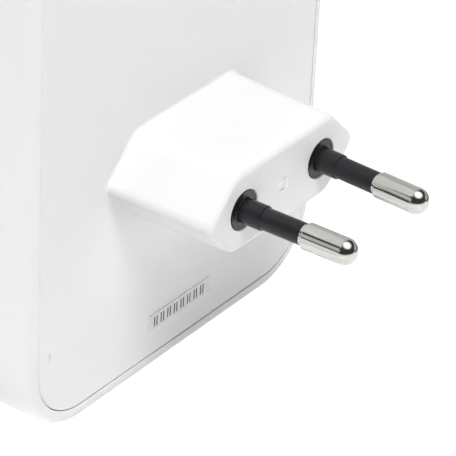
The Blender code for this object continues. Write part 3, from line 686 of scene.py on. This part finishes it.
def lean(body, side):
    """Put a body turned about Y on the pin's own axis, which leans to the middle."""
    tilt = math.atan((PIN_SPACING - PIN_TIP_SPACING) / 2 / PIN_REACH)
    foot = Matrix.Translation((side * PIN_SPACING / 2, 0, 0))
    body.transform(foot @ Matrix.Rotation(side * tilt, 4, "Z"))
    return body


def pin_body():
    """Core inside the sleeve, short neck, bare metal with a round tip."""
    tail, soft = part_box("plug_pin_left")[0].y / MM, 0.3
    core = [(tail, 0), (tail, CORE_RADIUS - soft), (tail + soft, CORE_RADIUS),
            (METAL_START, CORE_RADIUS)]
    neck = [(METAL_START, NECK_RADIUS), (NECK_END, NECK_RADIUS)]
    shoulder = arc((NECK_END + PIN_BREAK, PIN_RADIUS - PIN_BREAK), PIN_BREAK, 180, -90, 3)
    tip = arc((PIN_REACH - PIN_RADIUS, 0), PIN_RADIUS, 90, -90, 16)[:-1]
    return turned(core + neck + shoulder + tip + [(PIN_REACH, 0)], 72)


def sleeve_body():
    """Black insulation as (y, radius) stretches, from behind the plug's face to the metal."""
    back, seat, flange = -4.0, -2.3, 4.2
    bore, end = CORE_RADIUS + 0.12, METAL_START - 0.03
    behind = [(back, bore), (back, flange), (seat, flange), (seat, DISC_RADIUS)]
    disc = [(-0.12, DISC_RADIUS), (-0.06, DISC_RADIUS - 0.02), (-0.04, DISC_RADIUS - 0.12)]
    dish = [(-0.10, DISC_RADIUS - 0.45), (-0.16, COLLAR_RADIUS + 0.25),
            (-0.05, COLLAR_RADIUS + 0.06)]
    collar = [(0.15, COLLAR_RADIUS), (COLLAR_END - 0.16, COLLAR_RADIUS),
              (COLLAR_END - 0.04, COLLAR_RADIUS - 0.06), (COLLAR_END, COLLAR_RADIUS - 0.16)]
    thin = [(COLLAR_END + 0.05, SLEEVE_RADIUS), (end - 0.15, SLEEVE_RADIUS),
            (end - 0.04, SLEEVE_RADIUS - 0.05), (end, SLEEVE_RADIUS - 0.15), (end, bore)]
    return turned(behind + disc + dish + collar + thin, 72, closed=True)


def build_pins(metal_look, sleeve_look):
    """Both pins with their insulation."""
    for side, hand in ((-1, "right"), (1, "left")):
        pin = object_from(f"pin_{hand}", lean(pin_body(), side))
        finished(pin, metal_look, (f"plug_pin_{hand}",), angle=40)
        sleeve = object_from(f"sleeve_{hand}", lean(sleeve_body(), side))
        finished(sleeve, sleeve_look, (f"pin_sleeve_{hand}",), angle=40)


# ---------------------------------------------------------------- controls, lights and socket

def build_light_pipe(name, node, outlines, look):
    """Clear posts with softly rounded ends, on the plate that carries them behind the wall."""
    low, high = box_mm(node)
    gap, thick, soft, edge = 0.3, 1.2, 0.25, 0.18
    plate = softened((low.x, INSIDE + gap, low.z), (high.x, INSIDE + gap + thick, high.z), soft)
    posts = []
    for outline in outlines:
        rings = [along_y(outline, high.y)]
        for across, along in arc((0, 0), edge, 0, 90, 4):
            rings.append(along_y(offset(outline, across - edge), low.y + edge - along))
        posts.append(loft(rings))
    pipe = object_from(name, plate)
    carve(pipe, posts, "UNION")
    finished(pipe, look, (node,))


def build_wps_button(look):
    """Pairing button: a dished cap with a round edge, a flange behind the wall and a stem."""
    low, high = box_mm("wps_button")
    radius, edge, dish, dished, steps = 7.5, 0.6, 0.4, 6.7, 8
    cap = [(low.y + dish * (1 - (step / steps) ** 2), dished * step / steps)
           for step in range(steps + 1)]
    cap += arc((low.y + edge, radius - edge), edge, 180, -90, 6)
    gap, thick, stem, soft = 0.3, 1.0, 1.5, 0.2
    front, wide = INSIDE + gap, high.x
    back = front + thick
    flange = [(front, radius), (front, wide - soft), (front + soft, wide), (back - soft, wide),
              (back, wide - soft)]
    end = [(back, stem), (high.y - soft, stem), (high.y, stem - soft), (high.y, 0)]
    body = turned(cap + flange + end, 96)
    body.transform(Matrix.Translation((0, 0, middle_mm("wps_button")[2])))
    button = object_from("pairing_button", body)
    finished(button, look, ("wps_button",), "wps_button")


def build_reset_pin(look):
    """The reset switch's plunger, with a domed end that a paper clip meets."""
    low, high = box_mm("reset_plunger")
    x, y, _ = middle_mm("reset_plunger")
    radius = (high.x - low.x) / 2
    dome, steps = radius / 2, 4
    angles = [math.pi / 2 * step / steps for step in range(steps + 1)]
    profile = [(low.z + dome - dome * math.cos(a), radius * math.sin(a)) for a in angles]
    body = turned(profile + [(high.z, radius), (high.z, 0)], 32)
    body.transform(Matrix.Translation((x, y, 0)) @ Matrix.Rotation(math.pi / 2, 4, "X"))
    pin = object_from("reset_pin", body)
    finished(pin, look, ("reset_plunger",), "reset_button")


def build_network_socket(look):
    """Black moulded jack with a stepped mouth for the plug and its latch."""
    half, latch, depth, edge, chamfer = 5.95, 3.2, 13.2, 0.35, 0.45
    wall, latch_from, latch_to = 1.3, 7.2, 9.6
    floor = JACK_LOW.y + wall
    step, end = floor + latch_from, floor + latch_to
    mouth = [(-half, floor), (half, floor), (half, step), (latch, step),
             (latch, end), (-latch, end), (-latch, step), (-half, step)]
    socket = object_from("network_socket", softened(JACK_LOW, JACK_HIGH, edge))
    bottom = JACK_LOW.z
    carve(socket, [chamfered_cut(mouth, bottom, 1, bottom + depth, chamfer, along_z)])
    finished(socket, look, ("ethernet_jack",))


# ---------------------------------------------------------------- printed label

LABEL_MIDDLE = (-0.5, -28.45)
LABEL_HALF, LABEL_HEIGHT, LABEL_CORNER = 7.6, 3.2, 0.3
FILM_THICK, FILM_SUNK = 0.03, 0.01
INK_THICK = 0.012
RULE_MARGIN, RULE_DROP, RULE_WIDE = 0.3, 0.42, 0.08
TICK_COUNT, TICK_PITCH, TICK_HALF_GAP = 8, 1.62, 0.3
TICK_WIDE, TICK_HIGH, TICK_MARGIN = 0.24, 1.75, 0.45


def label_bars(z_low, z_high):
    """The rule and the paired ticks, as (left, right, low, high); x is from the label's middle."""
    half = LABEL_HALF - RULE_MARGIN
    bars = [(-half, half, z_high - RULE_DROP, z_high - RULE_DROP + RULE_WIDE)]
    foot = z_low + TICK_MARGIN
    for index in range(TICK_COUNT):
        for side in (-1, 1):
            x = TICK_PITCH * (index - (TICK_COUNT - 1) / 2) + side * TICK_HALF_GAP
            bars.append((x - TICK_WIDE / 2, x + TICK_WIDE / 2, foot, foot + TICK_HIGH))
    return bars


def build_label(film_look, ink_look):
    """A clear film patch by the lower seam, with a rule and a row of plain paired ticks on it."""
    x_middle, z_middle = LABEL_MIDDLE
    z_low, z_high = z_middle - LABEL_HEIGHT / 2, z_middle + LABEL_HEIGHT / 2
    outline = [(x + x_middle, z)
               for x, z in rounded_rect(LABEL_HALF, z_low, z_high, LABEL_CORNER, 4)]
    film = loft([along_y(outline, y) for y in (BACK - FILM_SUNK, BACK + FILM_THICK)])
    finished(object_from("label_film", film), film_look)
    marks = bmesh.new()
    for left, right, low, high in label_bars(z_low, z_high):
        patch = bmesh.ops.create_cube(marks, size=1.0)["verts"]
        size = Matrix.Diagonal((right - left, INK_THICK, high - low, 1))
        spot = (x_middle + (left + right) / 2, BACK + FILM_THICK + INK_THICK / 2, (low + high) / 2)
        bmesh.ops.transform(marks, matrix=Matrix.Translation(spot) @ size, verts=patch)
    finished(object_from("label_ticks", marks), ink_look)


# ---------------------------------------------------------------- CAD nodes that stay

def dress_cad_nodes(looks):
    """Give each CAD node the procedural look of its material slot."""
    for part in frame["record"]["subparts"]:
        look = looks.get(part["material_slot"])
        if look:
            for holder in frame["nodes"][part["node"]].material_slots:
                holder.material = look


# ---------------------------------------------------------------- stage, light and camera

CAMERA_YAW, CAMERA_PITCH, CAMERA_ROLL = 54.67, 32.13, 2.91     # degrees; yaw turns from +Y to +X
CAMERA_ASIDE, CAMERA_RAISED, CAMERA_FAR = -7.91, -6.27, 472.0  # along the camera's own axes
CAMERA_LENS, CAMERA_SENSOR = 260.5, 36.0

# Soft square panels that light the matt surfaces: direction, size in metres and watts
PANEL_DISTANCE = 1.3
PANELS = {
    "key_above": ((0.3, 0.25, 0.92), 0.55, 17.0),
    "behind_left": ((0.5, -0.5, 0.7), 1.0, 5.0),
    "behind_right": ((-0.5, -0.5, 0.7), 1.0, 9.5),
    "far_side": ((0.0, -1.0, 0.1), 1.0, 2.5),
    "front": ((0.0, 1.0, 0.0), 1.0, 4.8),
    "front_left": ((0.75, 0.65, 0.1), 1.0, 1.8),
    "front_right": ((-0.7, 0.7, 0.0), 1.0, 4.0),
    "below": ((0.0, 0.05, -1.0), 1.0, 11.0),
    "below_left": ((0.7, 0.05, -0.7), 1.0, 2.5),
    "below_behind_left": ((0.6, -0.5, -0.6), 1.0, 9.5),
}

# What gloss reflects. Each wall is a list of (height, brightness) steps, with height from -1
# (straight down) through 0 (the horizon) to 1. All start with a white floor; most have dark gaps
WALL_REAR_LEFT = ((-0.04, 0.95), (0.06, 0.15), (0.17, 0.15), (0.24, 0.62), (0.6, 0.62), (0.75, 0.8))
WALL_BACK_LEFT = ((-0.04, 0.95), (0.06, 0.15), (0.17, 0.15), (0.24, 0.62), (0.51, 0.62),
                  (0.56, 0.06), (0.69, 0.06), (0.75, 0.8))
WALL_BACK_RIGHT = ((-0.04, 0.95), (0.08, 0.6))
WALL_FRONT_LEFT = ((-0.04, 0.95), (0.06, 0.05), (0.9, 0.05))
WALL_FRONT_RIGHT = ((-0.3, 0.95), (-0.2, 0.1), (-0.05, 0.1), (0.02, 0.5), (0.34, 0.5),
                    (0.42, 0.05))

# Where one wall gives way to the next: a direction's Y or X where that starts and where it ends
REAR_TO_BACK_Y = (-0.52, -0.46)
BACK_TO_FRONT_Y = (-0.4, 0.0)
BACK_LEFT_TO_RIGHT_X = (0.0, -0.3)
FRONT_LEFT_TO_RIGHT_X = (-0.5, -0.65)
CEILING_LAMP = (-0.04, 0.28, 0.96)       # towards the round lamp that the pins' tips reflect
CEILING_GLOW = 1.6
LAMP_EDGE = (0.78, 0.96)                 # cosine of the angle to its middle, where it fades in

# Stage, in metres
FLOOR_HALF, FLOOR_HEIGHT = 8.0, -1.3
CARD_HALF, CARD_END = 0.16, 0.24
CARD_START = (BACK + 2.0) * MM
CARD_HEIGHT = (BOTTOM - 0.6) * MM


def build_camera():
    """A long lens that looks at the plug from its open end: from +Y, +X and above."""
    yaw, pitch, roll = (math.radians(angle) for angle in (CAMERA_YAW, CAMERA_PITCH, CAMERA_ROLL))
    towards = Vector((math.sin(yaw) * math.cos(pitch), math.cos(yaw) * math.cos(pitch),
                      math.sin(pitch)))
    level = Vector((-math.cos(yaw), math.sin(yaw), 0))
    upright = towards.cross(level)
    right = level * math.cos(roll) + upright * math.sin(roll)
    up = upright * math.cos(roll) - level * math.sin(roll)
    data = bpy.data.cameras.new("camera")
    data.lens, data.sensor_width = CAMERA_LENS, CAMERA_SENSOR
    data.clip_start, data.clip_end = 0.01, 20
    camera = bpy.data.objects.new("camera", data)
    turn = Matrix((right, up, towards)).transposed().to_4x4()
    spot = (right * CAMERA_ASIDE + up * CAMERA_RAISED + towards * CAMERA_FAR) * MM
    camera.matrix_world = Matrix.Translation(spot) @ turn
    bpy.context.scene.collection.objects.link(camera)
    bpy.context.scene.camera = camera


def add_panel(name, direction, size, power):
    """A soft panel aimed at the plug; gloss reflects the room instead of it."""
    data = bpy.data.lights.new(name, "AREA")
    data.shape, data.size = "SQUARE", size
    data.energy = power
    light = bpy.data.objects.new(name, data)
    light.location = Vector(direction).normalized() * PANEL_DISTANCE
    light.rotation_euler = (-light.location).to_track_quat("-Z", "Y").to_euler()
    light.visible_glossy = False
    bpy.context.scene.collection.objects.link(light)


def wall_ramp(tree, height, stops):
    """Brightness by height above the horizon."""
    ramp = tree.nodes.new("ShaderNodeValToRGB")
    marks = ramp.color_ramp.elements
    while len(marks) < len(stops):
        marks.new(0.5)
    for mark, (level, bright) in zip(marks, stops):
        mark.position = (level + 1) / 2
        mark.color = (bright, bright, bright, 1)
    tree.links.new(height, ramp.inputs["Fac"])
    return ramp.outputs["Color"]


def fade(tree, value, start, end):
    """A soft switch from 0 to 1 as a value passes from start to end."""
    span = tree.nodes.new("ShaderNodeMapRange")
    span.interpolation_type = "SMOOTHSTEP"
    span.inputs["From Min"].default_value, span.inputs["From Max"].default_value = start, end
    tree.links.new(value, span.inputs["Value"])
    return span.outputs["Result"]


def blend(tree, factor, first, second):
    """First where the factor is 0, second where it is 1."""
    mix = tree.nodes.new("ShaderNodeMix")
    mix.data_type = "RGBA"
    tree.links.new(factor, mix.inputs["Factor"])
    tree.links.new(first, mix.inputs["A"])
    tree.links.new(second, mix.inputs["B"])
    return mix.outputs["Result"]


def room_walls(tree, direction):
    """The walls round the object, blended into each other."""
    axes = tree.nodes.new("ShaderNodeSeparateXYZ")
    tree.links.new(direction, axes.inputs["Vector"])
    x, y = axes.outputs["X"], axes.outputs["Y"]
    height = tree.nodes.new("ShaderNodeMapRange")
    height.inputs["From Min"].default_value = -1
    tree.links.new(axes.outputs["Z"], height.inputs["Value"])
    rear_left, back_left, back_right, front_left, front_right = (
        wall_ramp(tree, height.outputs["Result"], stops)
        for stops in (WALL_REAR_LEFT, WALL_BACK_LEFT, WALL_BACK_RIGHT, WALL_FRONT_LEFT,
                      WALL_FRONT_RIGHT))
    left = blend(tree, fade(tree, y, *REAR_TO_BACK_Y), rear_left, back_left)
    back = blend(tree, fade(tree, x, *BACK_LEFT_TO_RIGHT_X), left, back_right)
    front = blend(tree, fade(tree, x, *FRONT_LEFT_TO_RIGHT_X), front_left, front_right)
    return blend(tree, fade(tree, y, *BACK_TO_FRONT_Y), back, front)


def with_lamp(tree, direction, walls):
    """The walls with a round lamp on the ceiling."""
    towards = tree.nodes.new("ShaderNodeVectorMath")
    towards.operation = "DOT_PRODUCT"
    towards.inputs[1].default_value = CEILING_LAMP
    tree.links.new(direction, towards.inputs[0])
    lamp = tree.nodes.new("ShaderNodeRGB").outputs["Color"]
    lamp.default_value = (CEILING_GLOW, CEILING_GLOW, CEILING_GLOW, 1)
    return blend(tree, fade(tree, towards.outputs["Value"], *LAMP_EDGE), walls, lamp)


def build_room():
    """White background for the camera, and a pale room with dark gaps that only gloss reflects."""
    world = bpy.data.worlds.new("room")
    world.use_nodes = True
    tree = world.node_tree
    direction = tree.nodes.new("ShaderNodeTexCoord").outputs["Generated"]
    seen = with_lamp(tree, direction, room_walls(tree, direction))
    rays = tree.nodes.new("ShaderNodeLightPath")
    room, white = tree.nodes["Background"], tree.nodes.new("ShaderNodeBackground")
    tree.links.new(seen, room.inputs["Color"])
    tree.links.new(rays.outputs["Is Glossy Ray"], room.inputs["Strength"])
    white.inputs["Color"].default_value = (1, 1, 1, 1)
    either = tree.nodes.new("ShaderNodeMixShader")
    tree.links.new(rays.outputs["Is Camera Ray"], either.inputs["Fac"])
    tree.links.new(room.outputs["Background"], either.inputs[1])
    tree.links.new(white.outputs["Background"], either.inputs[2])
    tree.links.new(either.outputs["Shader"], tree.nodes["World Output"].inputs["Surface"])
    bpy.context.scene.world = world


def stage_white(name, brightness, glow):
    """Matt white, with a glow of its own."""
    look = bpy.data.materials.new(name)
    look.use_nodes = True
    shader = look.node_tree.nodes["Principled BSDF"]
    shader.inputs["Base Color"].default_value = (brightness, brightness, brightness, 1)
    shader.inputs["Roughness"].default_value = 0.9
    shader.inputs["Emission Color"].default_value = (1, 1, 1, 1)
    shader.inputs["Emission Strength"].default_value = glow
    return look


def level_sheet(name, half_x, y_low, y_high, z, look):
    """A level rectangle that belongs to the stage; sizes in metres."""
    corners = [(-half_x, y_low, z), (half_x, y_low, z), (half_x, y_high, z), (-half_x, y_high, z)]
    mesh = bpy.data.meshes.new(name)
    mesh.from_pydata(corners, [], [(0, 1, 2, 3)])
    mesh.materials.append(look)
    sheet = bpy.data.objects.new(name, mesh)
    bpy.context.scene.collection.objects.link(sheet)
    return sheet


def build_stage():
    """A plain white floor far below, and a card like a table top in front of the plug.

    The camera sees the floor, which lights nothing. It doesn't see the card, which reflects light
    onto the plug and the lower rim.
    """
    floor_white = stage_white("pale_floor", brightness=0.9, glow=1.0)
    card_white = stage_white("card_white", brightness=0.85, glow=0.0)
    floor = level_sheet("floor", FLOOR_HALF, -FLOOR_HALF, FLOOR_HALF, FLOOR_HEIGHT, floor_white)
    floor.visible_diffuse = floor.visible_glossy = floor.visible_shadow = False
    card = level_sheet("table_card", CARD_HALF, CARD_START, CARD_END, CARD_HEIGHT, card_white)
    card.visible_camera = False


build_camera()
build_room()
build_stage()
for panel, (direction, size, power) in PANELS.items():
    add_panel(panel, direction, size, power)
bpy.context.scene.view_settings.view_transform = "Standard"

HOUSING_LOOK = moulded("housing_plastic", (0.80, 0.80, 0.81), rough=0.40)
COVER_LOOK = moulded("cover_plastic", (0.79, 0.79, 0.80), rough=0.46)
SLEEVE_LOOK = insulation()
PIN_LOOK = nickel()
PIPE_LOOK = frosted("light_pipe", (0.72, 0.78, 0.82))
BLACK_LOOK = package("moulded_black", (0.022, 0.022, 0.024), rough=0.5)
SLOT_LOOKS = {
    "insulator_black": SLEEVE_LOOK,
    "nickel": PIN_LOOK,
    "brass": metal("spring_brass", (0.80, 0.58, 0.22), rough=0.28),
    "board_green": circuit_board(),
    "component_black": BLACK_LOOK,
    "ferrite": package("ferrite", (0.06, 0.06, 0.065), rough=0.7, grain_mm=0.3),
    "winding_tape": taped("winding_tape", (0.80, 0.55, 0.06)),
    "capacitor_sleeve": taped("capacitor_sleeve", (0.02, 0.03, 0.09)),
    "ceramic_blue": package("dipped_ceramic", (0.05, 0.22, 0.50), rough=0.3, grain_mm=0.8),
    "steel": metal("plated_steel", (0.62, 0.62, 0.64), rough=0.3),
    "aluminium": metal("extruded_aluminium", (0.76, 0.77, 0.78), rough=0.32, stretch=(1, 1, 0.04)),
    "led_lens": frosted("lamp_lens", (0.90, 0.88, 0.62)),
    "thermal_pad": package("thermal_pad", (0.42, 0.47, 0.55), rough=0.85, grain_mm=0.5),
    "insulating_film": taped("insulating_film", (0.70, 0.68, 0.58)),
}

build_housing(HOUSING_LOOK)
build_panel(polished("trim_gloss", (0.82, 0.82, 0.83)))
build_cover(COVER_LOOK)
build_pins(PIN_LOOK, SLEEVE_LOOK)
BARS, DOTS = window_outlines()
build_light_pipe("signal_windows", "signal_light_pipe", BARS, PIPE_LOOK)
build_light_pipe("status_windows", "status_light_pipe", DOTS, PIPE_LOOK)
build_wps_button(moulded("button_plastic", (0.74, 0.75, 0.77), rough=0.34, grain_mm=0.15))
build_reset_pin(SLEEVE_LOOK)
build_network_socket(BLACK_LOOK)
build_label(polished("label_film", (0.79, 0.79, 0.80), rough=0.22),
            package("ink", (0.015, 0.015, 0.017), rough=0.6, grain_mm=0.08))
dress_cad_nodes(SLOT_LOOKS)
